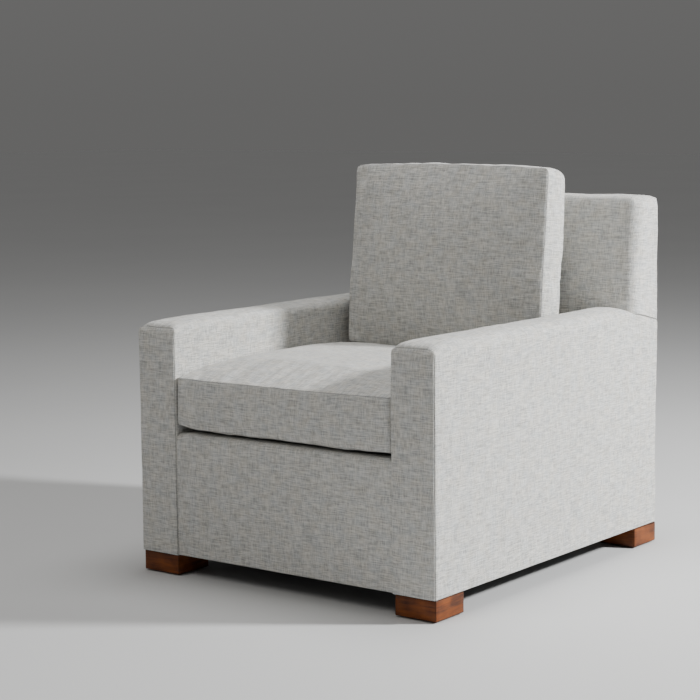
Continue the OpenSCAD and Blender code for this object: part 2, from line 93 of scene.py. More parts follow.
def addStudio(settings):
    for name in ("key", "top", "front"):
        addLight(name, settings[name], settings["aim"])
    world = bpy.data.worlds.new("studio")
    world.use_nodes = True
    tree = world.node_tree
    sky = tree.nodes["Background"]
    sky.inputs["Strength"].default_value = settings["skyStrength"]
    # paler overhead than at the horizon
    height = tree.nodes.new("ShaderNodeSeparateXYZ")
    tree.links.new(tree.nodes.new("ShaderNodeTexCoord").outputs["Generated"], height.inputs[0])
    blend = tree.nodes.new("ShaderNodeValToRGB")
    blend.color_ramp.elements[0].color = (*settings["horizon"], 1.0)
    blend.color_ramp.elements[1].color = (*settings["zenith"], 1.0)
    blend.color_ramp.elements[1].position = 0.6
    tree.links.new(height.outputs["Z"], blend.inputs["Fac"])
    tree.links.new(blend.outputs["Color"], sky.inputs["Color"])
    scene.world = world


addCamera(cameraSettings)
addStudio(lightSettings)
print("camera and lights placed")


# node helpers for the materials

def startMaterial(name, roughness=0.8, metallic=0.0):
    material = bpy.data.materials.new(name)
    material.use_nodes = True
    tree = material.node_tree
    shader = tree.nodes["Principled BSDF"]
    shader.inputs["Roughness"].default_value = roughness
    shader.inputs["Metallic"].default_value = metallic
    return material, tree, shader


def addNode(tree, kind, inputs=None, **values):
    node = tree.nodes.new(kind)
    for name, value in values.items():
        setattr(node, name, value)
    for name, value in (inputs or {}).items():
        if isinstance(value, bpy.types.NodeSocket):
            tree.links.new(value, node.inputs[name])
        else:
            node.inputs[name].default_value = value
    return node


def stretched(tree, source, scale, turn=(0, 0, 0)):
    mapping = addNode(tree, "ShaderNodeMapping", {"Vector": source})
    mapping.inputs["Scale"].default_value = scale
    mapping.inputs["Rotation"].default_value = turn
    return mapping.outputs["Vector"]


def noiseAt(tree, source, scale, detail=2.0, roughness=0.5):
    settings = {"Vector": source, "Scale": scale, "Detail": detail, "Roughness": roughness}
    texture = addNode(tree, "ShaderNodeTexNoise", settings)
    return texture.outputs["Fac"]


def ranged(tree, source, fromLow, fromHigh, toLow=0.0, toHigh=1.0):
    node = addNode(tree, "ShaderNodeMapRange", {"Value": source, "From Min": fromLow, "From Max": fromHigh,
                                                "To Min": toLow, "To Max": toHigh})
    return node.outputs["Result"]


def maths(tree, operation, first, second=0.0):
    node = addNode(tree, "ShaderNodeMath", operation=operation)
    for index, value in enumerate((first, second)):
        if isinstance(value, bpy.types.NodeSocket):
            tree.links.new(value, node.inputs[index])
        else:
            node.inputs[index].default_value = value
    return node.outputs[0]


def mixed(tree, factor, first, second, blend="MIX"):
    node = addNode(tree, "ShaderNodeMix", data_type="RGBA", blend_type=blend)
    for index, value in ((0, factor), (6, first), (7, second)):
        if isinstance(value, bpy.types.NodeSocket):
            tree.links.new(value, node.inputs[index])
        elif index == 0:
            node.inputs[index].default_value = value
        else:
            node.inputs[index].default_value = (*value, 1.0)
    return node.outputs[2]


def bumped(tree, shader, height, distance, strength=1.0):
    bump = addNode(tree, "ShaderNodeBump", {"Height": height, "Distance": distance, "Strength": strength})
    tree.links.new(bump.outputs["Normal"], shader.inputs["Normal"])


# upholstery cloth: a heathered plain weave with thick and thin yarns

upholsteryLook = {
    "warm": (0.590, 0.565, 0.512),
    "cool": (0.530, 0.540, 0.535),
    "pale": (0.810, 0.795, 0.748),
    "dark": (0.300, 0.300, 0.288),
    "yarn": 0.0016,  # pitch of the yarns
    "slubWidth": 0.0024,
    "slubLength": 0.018,
    "patch": 0.030,
    "relief": 0.0007,
}


def upholsteryCloth(name, look):
    material, tree, shader = startMaterial(name, roughness=0.88)
    shader.inputs["Specular IOR Level"].default_value = 0.22
    shader.inputs["Sheen Weight"].default_value = 0.22
    shader.inputs["Sheen Roughness"].default_value = 0.45
    uv = addNode(tree, "ShaderNodeTexCoord").outputs["UV"]
    # long thin streaks both ways, from yarns that are spun unevenly
    wide, long = 1 / look["slubWidth"], 1 / look["slubLength"]
    warp = noiseAt(tree, stretched(tree, uv, (wide, long, 1)), 1.0, 2.0, 0.55)
    weft = noiseAt(tree, stretched(tree, uv, (long * 0.62, wide, 1)), 1.0, 2.0, 0.55)
    broadWarp = noiseAt(tree, stretched(tree, uv, (wide * 0.3, long * 0.3, 1)), 1.0, 1.0)
    broadWeft = noiseAt(tree, stretched(tree, uv, (long * 0.3, wide * 0.3, 1)), 1.0, 1.0)
    patch = noiseAt(tree, uv, 1 / look["patch"], 3.0, 0.6)
    # the weave itself: yarns cross over and under
    turns = 2 * math.pi / look["yarn"]
    split = addNode(tree, "ShaderNodeSeparateXYZ", {"Vector": uv})
    across = maths(tree, "SINE", maths(tree, "MULTIPLY", split.outputs[0], turns))
    down = maths(tree, "SINE", maths(tree, "MULTIPLY", split.outputs[1], turns))
    weave = maths(tree, "MULTIPLY", across, down)
    slubs = maths(tree, "ADD", ranged(tree, warp, 0.35, 0.67, 0.0, 0.95),
                  ranged(tree, weft, 0.36, 0.66, 0.0, 1.2))
    broad = maths(tree, "ADD", ranged(tree, broadWarp, 0.38, 0.64), ranged(tree, broadWeft, 0.38, 0.64))
    hue = mixed(tree, ranged(tree, patch, 0.36, 0.64), look["warm"], look["cool"])
    tone = maths(tree, "ADD", maths(tree, "MULTIPLY", slubs, 0.5), maths(tree, "MULTIPLY", broad, 0.16))
    lit = mixed(tree, ranged(tree, tone, 0.62, 1.05, 0.0, 0.72), hue, look["pale"])
    deep = mixed(tree, ranged(tree, tone, 0.60, 0.22, 0.0, 0.80), lit, look["dark"])
    # painted shade: the weave's hollows, where its height is lowest, are darkened towards the dark colour
    shadedWeave = mixed(tree, ranged(tree, weave, -1.0, 0.2, 0.30, 0.0), deep, look["dark"])
    # painted shade: the sunk middle of each seam groove is darkened towards near black, standing in for the
    # shade in the groove
    seam = addNode(tree, "ShaderNodeAttribute", attribute_name="seam").outputs["Fac"]
    colour = mixed(tree, maths(tree, "MULTIPLY", seam, 0.75), shadedWeave, (0.10, 0.10, 0.10))
    tree.links.new(colour, shader.inputs["Base Color"])
    height = maths(tree, "ADD", maths(tree, "MULTIPLY", weave, 0.35), maths(tree, "MULTIPLY", slubs, 0.75))
    bumped(tree, shader, height, look["relief"], 0.8)
    return material


# plain cloths under the chair and under the cushion, and the stuffings

def plainCloth(name, light, dark, yarn, roughness=0.9, relief=0.0003):
    material, tree, shader = startMaterial(name, roughness=roughness)
    shader.inputs["Sheen Weight"].default_value = 0.1
    place = addNode(tree, "ShaderNodeTexCoord").outputs["Object"]
    split = addNode(tree, "ShaderNodeSeparateXYZ", {"Vector": place})
    turns = 2 * math.pi / yarn
    waves = [maths(tree, "SINE", maths(tree, "MULTIPLY", split.outputs[i], turns)) for i in range(3)]
    weave = maths(tree, "ADD", maths(tree, "ADD", waves[0], waves[1]), waves[2])
    cloud = noiseAt(tree, place, 60.0, 4.0, 0.6)
    tone = maths(tree, "ADD", ranged(tree, weave, -2.5, 2.5, 0.0, 0.5),
                 ranged(tree, cloud, 0.3, 0.7, 0.0, 0.5))
    tree.links.new(mixed(tree, tone, dark, light), shader.inputs["Base Color"])
    bumped(tree, shader, weave, relief, 0.7)
    return material


def stuffing(name, light, dark, grain, relief):
    material, tree, shader = startMaterial(name, roughness=1.0)
    place = addNode(tree, "ShaderNodeTexCoord").outputs["Object"]
    cloud = noiseAt(tree, place, 1 / grain, 5.0, 0.65)
    broad = noiseAt(tree, place, 9.0, 2.0)
    tone = maths(tree, "MULTIPLY", ranged(tree, cloud, 0.3, 0.7), ranged(tree, broad, 0.2, 0.8, 0.6, 1.0))
    tree.links.new(mixed(tree, tone, dark, light), shader.inputs["Base Color"])
    bumped(tree, shader, cloud, relief)
    return material


# timber

def timber(name, light, dark, pore, grainAxis, roughness, coat=0.0, relief=0.0002):
    material, tree, shader = startMaterial(name, roughness=roughness)
    shader.inputs["Coat Weight"].default_value = coat
    shader.inputs["Coat Roughness"].default_value = 0.28
    place = addNode(tree, "ShaderNodeTexCoord").outputs["Object"]
    fine = [260.0, 260.0, 260.0]
    broad = [34.0, 34.0, 34.0]
    fine[grainAxis] = 9.0
    broad[grainAxis] = 2.4
    fibre = noiseAt(tree, stretched(tree, place, fine), 1.0, 4.0, 0.7)
    rings = noiseAt(tree, stretched(tree, place, broad), 1.0, 3.0, 0.55)
    bands = maths(tree, "SINE", maths(tree, "MULTIPLY", rings, 38.0))
    tone = maths(tree, "ADD", ranged(tree, bands, -1.0, 1.0, 0.0, 0.45),
                 ranged(tree, fibre, 0.3, 0.7, 0.0, 0.55))
    base = mixed(tree, tone, dark, light)
    pores = ranged(tree, fibre, 0.60, 0.70, 0.0, 0.55)
    tree.links.new(mixed(tree, pores, base, pore), shader.inputs["Base Color"])
    gloss = ranged(tree, fibre, 0.3, 0.7, roughness - 0.06, roughness + 0.1)
    tree.links.new(gloss, shader.inputs["Roughness"])
    bumped(tree, shader, fibre, relief, 0.6)
    return material


def stainedFoot(name):
    material, tree, shader = startMaterial(name, roughness=0.36)
    shader.inputs["Coat Weight"].default_value = 0.06
    shader.inputs["Coat Roughness"].default_value = 0.30
    shader.inputs["Specular IOR Level"].default_value = 0.22
    place = addNode(tree, "ShaderNodeTexCoord").outputs["Object"]
    # fibres run level round the block, so both side faces show long grain
    fibre = noiseAt(tree, stretched(tree, place, (16.0, 16.0, 330.0)), 1.0, 4.0, 0.65)
    figure = noiseAt(tree, stretched(tree, place, (11.0, 11.0, 95.0)), 1.0, 3.0, 0.6)
    cloud = noiseAt(tree, place, 26.0, 2.0)
    tone = maths(tree, "ADD", ranged(tree, fibre, 0.34, 0.66, 0.0, 0.35),
                 ranged(tree, figure, 0.34, 0.66, 0.0, 0.30))
    tone = maths(tree, "ADD", tone, ranged(tree, cloud, 0.36, 0.64, 0.0, 0.35))
    base = mixed(tree, tone, (0.026, 0.0050, 0.0008), (0.235, 0.062, 0.0095))
    # the bevelled edges are coloured darker
    edge = addNode(tree, "ShaderNodeAttribute", attribute_name="edge").outputs["Fac"]
    darkerEdgeColour = mixed(tree, maths(tree, "MULTIPLY", edge, 0.6), base, (0.022, 0.006, 0.002))
    tree.links.new(darkerEdgeColour, shader.inputs["Base Color"])
    tree.links.new(ranged(tree, fibre, 0.3, 0.7, 0.30, 0.46), shader.inputs["Roughness"])
    bumped(tree, shader, fibre, 0.00018, 0.6)
    return material


# boards, metal and plastic

def fibreBoard(name):
    material, tree, shader = startMaterial(name, roughness=0.85)
    place = addNode(tree, "ShaderNodeTexCoord").outputs["Object"]
    flakes = addNode(tree, "ShaderNodeTexVoronoi", {"Vector": place, "Scale": 240.0}).outputs["Distance"]
    cloud = noiseAt(tree, place, 90.0, 4.0, 0.7)
    tone = maths(tree, "ADD", ranged(tree, cloud, 0.3, 0.7, 0.0, 0.7),
                 ranged(tree, flakes, 0.0, 0.6, 0.0, 0.3))
    tree.links.new(mixed(tree, tone, (0.20, 0.14, 0.09), (0.42, 0.33, 0.23)), shader.inputs["Base Color"])
    bumped(tree, shader, cloud, 0.0002)
    return material


def steel(name, light, dark, roughness):
    material, tree, shader = startMaterial(name, roughness=roughness, metallic=1.0)
    place = addNode(tree, "ShaderNodeTexCoord").outputs["Object"]
    drawn = noiseAt(tree, place, 900.0, 3.0, 0.6)
    stain = noiseAt(tree, place, 40.0, 3.0)
    tone = maths(tree, "ADD", ranged(tree, drawn, 0.3, 0.7, 0.0, 0.5),
                 ranged(tree, stain, 0.3, 0.7, 0.0, 0.5))
    tree.links.new(mixed(tree, tone, dark, light), shader.inputs["Base Color"])
    gloss = ranged(tree, stain, 0.3, 0.7, roughness - 0.08, roughness + 0.15)
    tree.links.new(gloss, shader.inputs["Roughness"])
    bumped(tree, shader, drawn, 0.00005, 0.5)
    return material


def mouldedPlastic(name, light, dark, roughness):
    material, tree, shader = startMaterial(name, roughness=roughness)
    place = addNode(tree, "ShaderNodeTexCoord").outputs["Object"]
    grain = noiseAt(tree, place, 1400.0, 2.0)
    scuff = noiseAt(tree, place, 70.0, 4.0, 0.7)
    tree.links.new(mixed(tree, ranged(tree, scuff, 0.35, 0.7), dark, light), shader.inputs["Base Color"])
    tree.links.new(ranged(tree, scuff, 0.3, 0.7, roughness, roughness + 0.2), shader.inputs["Roughness"])
    bumped(tree, shader, grain, 0.00006, 0.6)
    return material


def palePaint(name):
    material, tree, shader = startMaterial(name, roughness=0.75)
    place = addNode(tree, "ShaderNodeTexCoord").outputs["Object"]
    cloud = noiseAt(tree, place, 0.8, 3.0)
    tree.links.new(mixed(tree, cloud, (0.56, 0.56, 0.56), (0.60, 0.60, 0.595)), shader.inputs["Base Color"])
    return material


upholstery = upholsteryCloth("upholstery", upholsteryLook)
sawnColours = (0.56, 0.38, 0.21), (0.33, 0.20, 0.10), (0.16, 0.09, 0.04)  # light, dark, pores
frameTimber = timber("frame_timber", *sawnColours, 0, 0.72)  # grain along X
standingTimber = timber("standing_timber", *sawnColours, 2, 0.72)
longTimber = timber("long_timber", *sawnColours, 1, 0.72)
footTimber = stainedFoot("stained_foot")
deckLining = plainCloth("deck_lining", (0.60, 0.59, 0.56), (0.44, 0.43, 0.41), 0.0011)
dustLining = plainCloth("dust_lining", (0.030, 0.030, 0.032), (0.012, 0.012, 0.013), 0.0016, 0.95)
juteHessian = plainCloth("jute_hessian", (0.50, 0.37, 0.20), (0.22, 0.15, 0.07), 0.0036, 1.0, 0.0009)
softPadding = stuffing("soft_padding", (0.88, 0.87, 0.82), (0.62, 0.60, 0.53), 0.004, 0.0012)
foamCore = stuffing("foam_core", (0.86, 0.78, 0.52), (0.60, 0.50, 0.28), 0.0016, 0.0004)
panelBoard = fibreBoard("panel_board")
springSteel = steel("spring_steel", (0.16, 0.16, 0.17), (0.05, 0.05, 0.055), 0.38)
clipSteel = steel("clip_steel", (0.62, 0.62, 0.60), (0.38, 0.38, 0.37), 0.34)
zincSteel = steel("zinc_steel", (0.74, 0.74, 0.72), (0.50, 0.50, 0.50), 0.30)
sliderMetal = steel("slider_metal", (0.66, 0.65, 0.62), (0.42, 0.41, 0.39), 0.26)
glidePlastic = mouldedPlastic("glide_plastic", (0.06, 0.06, 0.06), (0.02, 0.02, 0.02), 0.45)
zipNylon = mouldedPlastic("zip_nylon", (0.42, 0.41, 0.39), (0.27, 0.26, 0.25), 0.5)
palePaintwork = palePaint("pale_floor")

cadLooks = {
    frameTimber: ("front_lower_rail", "front_spring_rail", "rear_lower_rail", "rear_spring_rail",
                  "top_back_rail", "lower_back_rail"),
    standingTimber: ("front_stiles", "left_front_post", "right_front_post", "left_back_post",
                     "right_back_post"),
    longTimber: ("left_lower_side_rail", "right_lower_side_rail", "upper_side_rails", "left_arm_top_board",
                 "right_arm_top_board", "arm_tack_rails", "foot_blocks"),
    panelBoard: ("arm_panels", "front_panel"),
    springSteel: ("seat_springs", "back_springs", "spring_tie_wires"),
    clipSteel: ("seat_spring_clips", "back_spring_clips"),
    zincSteel: ("foot_bolts", "foot_tee_nuts"),
    glidePlastic: ("foot_glides",),
    juteHessian: ("seat_hessian", "back_hessian"),
    softPadding: ("front_edge_roll", "deck_pad"),
    deckLining: ("deck_cloth",),
    dustLining: ("dust_cover",),
    foamCore: ("seat_cushion_core",),
    zipNylon: ("seat_cushion_zip", "back_cushion_zip"),
    sliderMetal: ("seat_zip_slider", "back_zip_slider"),
}
for material, names in cadLooks.items():
    for name in names:
        nodes[name].data.materials.clear()
        nodes[name].data.materials.append(material)
print("materials made")


# shared steps for sewn pieces

sewing = {
    "closeLines": (0.68, 0.38, 0.14, 0.0),  # of a rounding's radius: lattice lines crowd towards its edge
    "hemReach": 0.06,  # stuffing lies flat at a tacked hem and is loose this far above it
    "seamClear": 0.003,  # gathers start this far from the stitches
}
tiny = 1e-6


def swell(t):
    return max(0.0, 1.0 - (2 * t - 1) ** 2)


def ramp(value, low, high):
    t = min(1.0, max(0.0, (value - low) / (high - low)))
    return t * t * (3 - 2 * t)


def stops(low, high, step, softLow=0.0, softHigh=0.0):
    # places of the lattice's lines, closer together where an end is rounded
    inner = [low + softLow, high - softHigh]
    count = max(2, round((inner[1] - inner[0]) / step))
    places = [inner[0] + (inner[1] - inner[0]) * index / count for index in range(count + 1)]
    for part in sewing["closeLines"]:
        if softLow:
            places.insert(0, low + softLow * part)
        if softHigh:
            places.append(high - softHigh * part)
    return places


def latticeBox(*lines):
    # a closed box whose six faces are gridded at the given stops along X, Y and Z
    mesh = bmesh.new()
    bmesh.ops.create_cube(mesh, size=1.0)
    for axis, places in enumerate(lines):
        along = [edge for edge in mesh.edges if abs(edge.verts[0].co[axis] - edge.verts[1].co[axis]) > 0.9]
        bmesh.ops.subdivide_edges(mesh, edges=along, cuts=len(places) - 2, use_grid_fill=True)
    for vert in mesh.verts:
        numbers = [round((vert.co[axis] + 0.5) * (len(places) - 1)) for axis, places in enumerate(lines)]
        vert.co = [places[number] for number, places in zip(numbers, lines)]
    bmesh.ops.recalc_face_normals(mesh, faces=mesh.faces[:])
    return mesh


def facing(face):
    sizes = [abs(part) for part in face.normal]
    return sizes.index(max(sizes))


def layCloth(mesh, unrolled=None):
    # each panel takes its weave level and upright, or as unrolled says where one cloth turns an edge
    layer = mesh.loops.layers.uv.verify()
    mesh.normal_update()
    for face in mesh.faces:
        side = facing(face)
        for loop in face.loops:
            x, y, z = loop.vert.co
            flat = unrolled(side, x, y, z) if unrolled else None
            loop[layer].uv = flat or ((y, z), (x, z), (x, y))[side]


def markSeams(mesh, isSeam):
    for edge in mesh.edges:
        edge.seam = isSeam(edge.verts[0].co, edge.verts[1].co)


def roundEdge(mesh, first, second, firstBound, secondBound, radiusOf):
    # pulls the corner between two bounds, each (place, direction outwards), onto an arc
    for vert in mesh.verts:
        radius = radiusOf(vert.co) if callable(radiusOf) else radiusOf
        if radius <= 0:
            continue
        firstCentre = firstBound[0] - firstBound[1] * radius
        secondCentre = secondBound[0] - secondBound[1] * radius
        u = (vert.co[first] - firstCentre) * firstBound[1]
        v = (vert.co[second] - secondCentre) * secondBound[1]
        if u > 1e-7 and v > 1e-7:
            scale = max(u, v) / math.hypot(u, v)
            vert.co[first] = firstCentre + firstBound[1] * u * scale
            vert.co[second] = secondCentre + secondBound[1] * v * scale


def grooveSeams(mesh, depth, width):
    # a marked seam is doubled, and its middle sinks and is marked with "seam" for painted shade in the
    # groove
    # the "seam" layer carries the painted shade of the groove into the cloth's colour
    layer = mesh.verts.layers.float.new("seam")
    ring = [edge for edge in mesh.edges if edge.seam]
    made = bmesh.ops.bevel(mesh, geom=ring, offset=width, segments=2, profile=0.5, material=-1,
                           affect="EDGES")
    faces = set(made["faces"])
    bmesh.ops.recalc_face_normals(mesh, faces=mesh.faces[:])
    mesh.normal_update()
    corners = {vert for face in faces for vert in face.verts}
    sewn = [vert for vert in corners if all(face in faces for face in vert.link_faces)]
    for vert, normal in [(vert, vert.normal.copy()) for vert in sewn]:
        vert.co -= normal * depth
        vert[layer] = 1.0
    return sewn


def pucker(mesh, sewn, height, reach, pitch):
    # short gathers that run away from each seam
    tree = kdtree.KDTree(len(sewn))
    for index, vert in enumerate(sewn):
        tree.insert(vert.co, index)
    tree.balance()
    mesh.normal_update()
    moves = []
    for vert in mesh.verts:
        place, index, distance = tree.find(vert.co)
        if sewing["seamClear"] < distance < 3 * reach:
            size = noise.noise(place / pitch) * height * math.exp(-distance / reach)
            moves.append((vert, vert.normal * size))
    for vert, move in moves:
        vert.co += move


def undulate(mesh, height, length, seed, hem=None):
    # broad unevenness of stuffing under cloth, none at a hem that is tacked to the frame
    mesh.normal_update()
    shift = Vector((seed * 3.7, seed * 1.3, seed * 2.1))
    moves = []
    for vert in mesh.verts:
        size = height * noise.noise(vert.co / length + shift)
        if hem is not None:
            size *= ramp(vert.co.z, hem, hem + sewing["hemReach"])
        moves.append((vert, vert.normal * size))
    for vert, move in moves:
        vert.co += move


def unsettle(mesh, shape, seed, hem=None):
    undulate(mesh, *shape["waves"], seed, hem)
    undulate(mesh, *shape["fineWaves"], seed + 3, hem)


def finishPiece(name, mesh, material, body=None, smooth=True):
    bmesh.ops.recalc_face_normals(mesh, faces=mesh.faces[:])
    data = bpy.data.meshes.new(name)
    mesh.to_mesh(data)
    mesh.free()
    data.materials.append(material)
    for polygon in data.polygons:
        polygon.use_smooth = smooth
    piece = bpy.data.objects.new(name, data)
    scene.collection.objects.link(piece)
    if body:
        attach(piece, body)
    return piece


def upholstered(name, mesh, body, fill, *replaced):
    piece = finishPiece(name, mesh, upholstery, body)
    modifier = piece.modifiers.new("smooth", "SUBSURF")
    modifier.levels = 1
    modifier.render_levels = 1
    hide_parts(*replaced)
    return piece


# the chair's own measures, from the frame

armLow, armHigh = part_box("right_arm_cover")
bandLow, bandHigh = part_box("front_band_cover")
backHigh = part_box("inside_back_cover")[1]
rearLow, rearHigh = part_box("outside_back_cover")
armTop = armHigh.z
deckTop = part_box("deck_cloth")[1].z
wellHalf = armLow.x
chairHalf = armHigh.x
frontY = armLow.y
rearY = rearHigh.y

backShape = {
    "lean": 6.0,  # degrees
    "faceY": 0.334,  # at arm height
    "seamStart": 0.006,  # below the arm's top, where the side seam leaves the back's face
    "seamEnd": 0.036,  # below the arm's top, at the rear
    "setIn": 0.002,  # covers end this far inside the chair's rear and the back's top
}


def backFace(z):
    return backShape["faceY"] + (z - armTop) * math.tan(math.radians(backShape["lean"]))


def seamDrop(y):
    t = max(0.0, (y - backShape["faceY"]) / (rearY - backShape["faceY"]))
    start, end = backShape["seamStart"], backShape["seamEnd"]
    return start + (end - start) * (0.65 * t + 0.35 * t * t)


# arms

armShape = {
    "step": 0.011,
    "proud": 0.003,  # the arm's face stands this far in front of the band
    "frontRoll": 0.027,
    "innerEdge": 0.015,
    "outerEdge": 0.022,
    "buriedEdge": 0.004,  # of the top, where it runs under the back
    "uprightEdge": 0.007,
    "rearEdge": 0.013,
    "hemEdge": 0.003,
    "crown": 0.0065,
    "crownRun": 0.09,  # from the front, over which the crown rises
    "backReach": 0.16,  # the top's slope under the back fades out this far down
    "easing": (0.06, 0.02),  # before and behind the back's face, where the top's edges turn sharp
    "faceDepth": 0.004,  # what counts as the front face, before it is crowned
    "faceCrown": 0.0015,
    "besideSeat": 0.0003,  # gap kept on the inner side, next to the seat cushion
    "groove": (0.0010, 0.0012),  # depth and half width of the sewn seam
    "waves": (0.0022, 0.11),  # height and length
    "fineWaves": (0.0008, 0.030),
    "gathers": (0.0016, 0.010, 0.014),  # height, reach and pitch
    "fill": 0.9,
}


def armUpholstery(side, seed):
    shape = armShape
    front, rear = frontY - shape["proud"], rearY - backShape["setIn"]
    turn = backShape["faceY"]
    mesh = latticeBox(stops(wellHalf, chairHalf, shape["step"], shape["innerEdge"], shape["outerEdge"]),
                      stops(front, rear, shape["step"], shape["frontRoll"], shape["rearEdge"]),
                      stops(armLow.z, armTop, shape["step"], shape["buriedEdge"], shape["outerEdge"]))
    # the front face is sewn in along its two sides and its top
    markSeams(mesh, lambda a, b: max(a.y, b.y) < front + tiny and
              (min(a.x, b.x) > chairHalf - tiny or max(a.x, b.x) < wellHalf + tiny
               or min(a.z, b.z) > armTop - tiny))

    def unrolled(way, x, y, z):
        onTop = way == 2 and z > armTop - 0.01
        return (y, armTop + chairHalf - x) if onTop else None

    layCloth(mesh, unrolled)

    def topRadius(full):
        before, behind = shape["easing"]
        extra = full - shape["buriedEdge"]
        return lambda co: extra * (1 - ramp(co.y, turn - before, turn + behind)) + shape["buriedEdge"]

    roundEdge(mesh, 0, 2, (chairHalf, 1), (armTop, 1), topRadius(shape["outerEdge"]))
    roundEdge(mesh, 0, 2, (wellHalf, -1), (armTop, 1), topRadius(shape["innerEdge"]))
    roundEdge(mesh, 1, 2, (front, -1), (armTop, 1), shape["frontRoll"])
    roundEdge(mesh, 0, 1, (chairHalf, 1), (front, -1), shape["uprightEdge"])
    roundEdge(mesh, 0, 1, (wellHalf, -1), (front, -1), shape["uprightEdge"] * 0.8)
    roundEdge(mesh, 0, 1, (chairHalf, 1), (rear, 1), shape["rearEdge"])
    roundEdge(mesh, 0, 2, (chairHalf, 1), (armLow.z, -1), shape["hemEdge"])
    middle, half = (wellHalf + chairHalf) / 2, (chairHalf - wellHalf) / 2
    for vert in mesh.verts:
        x, y, z = vert.co
        across = max(0.0, 1 - ((x - middle) / half) ** 2)
        crown = shape["crown"] * across
        vert.co.z += crown * ramp(z, armTop - 0.03, armTop) * ramp(y, front, front + shape["crownRun"])
        fall = seamDrop(y) * ramp(y, turn - 0.012, turn + 0.004)
        fall += crown * ramp(y, turn, turn + 0.02)
        vert.co.z -= fall * ramp(z, armTop - shape["backReach"], armTop)
        if y < front + shape["faceDepth"]:
            vert.co.y -= shape["faceCrown"] * across * swell((z - armLow.z) / (armTop - armLow.z)) ** 0.5
    sewn = grooveSeams(mesh, *shape["groove"])
    unsettle(mesh, shape, seed, armLow.z)
    pucker(mesh, sewn, *shape["gathers"])
    # the inner side stays clear of the seat cushion
    for vert in mesh.verts:
        if vert.co.y > front + 0.02:
            vert.co.x = max(vert.co.x, wellHalf + shape["besideSeat"])
    if side == "left":
        bmesh.ops.scale(mesh, vec=(-1, 1, 1), verts=mesh.verts[:])
        bmesh.ops.reverse_faces(mesh, faces=mesh.faces[:])
    upholstered(side + "_arm_upholstery", mesh, "chair_frame", shape["fill"],
                side + "_arm_cover", side + "_arm_padding")


armUpholstery("right", 5)
armUpholstery("left", 8)
print("arms covered")


# front band and the lip of the deck

bandShape = {
    "step": 0.011,
    "recess": 0.0015,
    "lip": 0.013,
    "hemEdge": 0.003,
    "rise": 0.010,  # of the stuffed lip above the deck
    "crown": 0.002,
    "endDrop": 0.005,
    "endRun": 0.045,  # over which the lip drops towards an arm
    "rightShare": 0.1,  # of the drop, at the right arm
    "overlap": 0.0015,  # into each arm
    "waves": (0.0020, 0.12),
    "fineWaves": (0.0008, 0.030),
    "fill": 0.9,
}


def bandUpholstery():
    shape = bandShape
    front, rear, half = frontY + shape["recess"], bandHigh.y, wellHalf + shape["overlap"]
    mesh = latticeBox(stops(-half, half, shape["step"], 0.008, 0.008),
                      stops(front, rear, shape["step"], shape["lip"]),
                      stops(bandLow.z, deckTop, shape["step"], 0.004, shape["lip"]))
    layCloth(mesh, lambda way, x, y, z: (x, deckTop + y - front) if way == 2 else None)
    roundEdge(mesh, 1, 2, (front, -1), (deckTop, 1), shape["lip"])
    roundEdge(mesh, 1, 2, (front, -1), (bandLow.z, -1), shape["hemEdge"])
    for vert in mesh.verts:
        x, y, z = vert.co
        end = ramp(abs(x), half - shape["endRun"], half)
        onLip = ramp(z, deckTop - 0.05, deckTop) * (1 - ramp(y, front + 0.02, rear - 0.01))
        share = 1.0 if x < 0 else shape["rightShare"]
        vert.co.z += onLip * (shape["rise"] - shape["endDrop"] * end * share)
        if y < front + 0.03:
            vert.co.y -= shape["crown"] * swell((z - bandLow.z) / (deckTop - bandLow.z)) ** 0.5 * (1 - end)
    unsettle(mesh, shape, 21, bandLow.z)
    upholstered("front_band_upholstery", mesh, "chair_frame", shape["fill"],
                "front_band_cover", "front_wadding")


bandUpholstery()
print("front band covered")


# fixed back: one soft T-shaped cover, and the plain panel behind it

wingShape = {
    "step": 0.011,
    "depth": 0.118,  # of the lattice before it is fitted between the two faces
    "upright": 0.036,
    "topFront": 0.020,
    "topRear": 0.009,
    "topSide": 0.026,
    "rearSide": 0.013,
    "crown": 0.005,
    "flare": 0.0025,
    "hemEdge": 0.004,
    "seamReach": 0.12,  # the side seam's slope fades out this far up
    "seamLap": 0.0008,  # the side panel's lower edge lies this far below the seam line
    "inner": 0.010,  # step of the hidden lower part
    "waves": (0.0022, 0.10),
    "fineWaves": (0.0008, 0.030),
    "gathers": (0.0042, 0.020, 0.022),
    "fill": 0.85,
}


